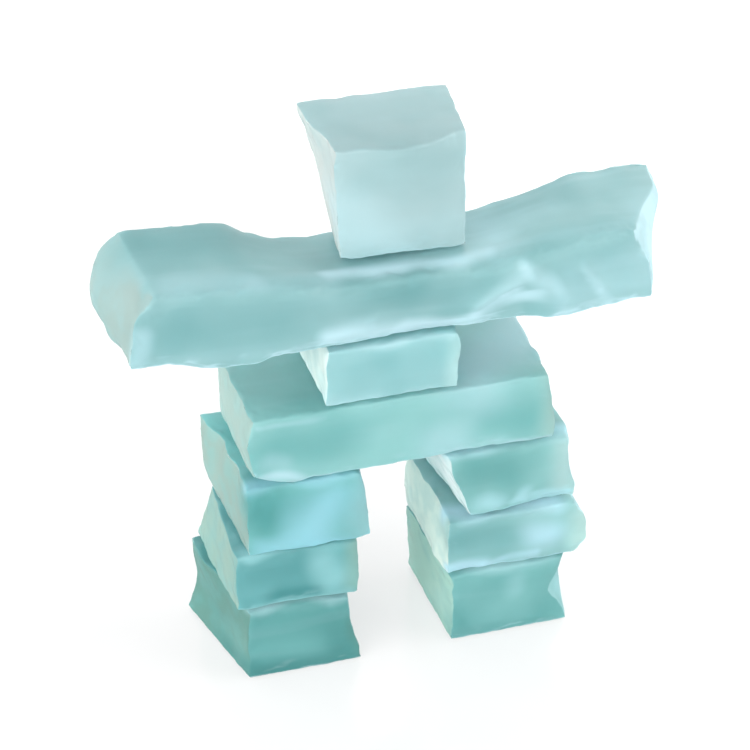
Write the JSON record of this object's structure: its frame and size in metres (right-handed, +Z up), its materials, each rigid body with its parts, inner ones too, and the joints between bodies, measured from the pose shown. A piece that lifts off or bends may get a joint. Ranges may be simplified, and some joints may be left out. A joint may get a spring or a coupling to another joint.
{
  "type": "glass inukshuk figure",
  "caption": "Standing inukshuk figure for a tabletop, stacked from frosted aqua glass blocks: legs, hips, chest, a long lintel as arms, and a head.",
  "frame": {"origin": "middle of the bounding box, at its bottom: on the ground under the figure", "axes": "+Z up, +X along the lintel towards the viewer's right, and the figure faces -Y"},
  "size_m": [0.1504, 0.0394, 0.1483],
  "materials": {
    "glass_head": "frosted",
    "glass_arms": "frosted",
    "glass_chest": "frosted",
    "glass_hip": "frosted",
    "glass_thigh": "frosted",
    "glass_shin": "frosted",
    "glass_foot": "frosted"
  },
  "bodies": {
    "root": {"left_foot_stone": "glass_foot", "left_shin_stone": "glass_shin", "left_thigh_stone": "glass_thigh", "right_foot_stone": "glass_foot", "right_shin_stone": "glass_shin", "right_thigh_stone": "glass_thigh", "hip_stone": "glass_hip", "chest_stone": "glass_chest", "arms_stone": "glass_arms", "head_stone": "glass_head"}
  },
  "joints": []
}
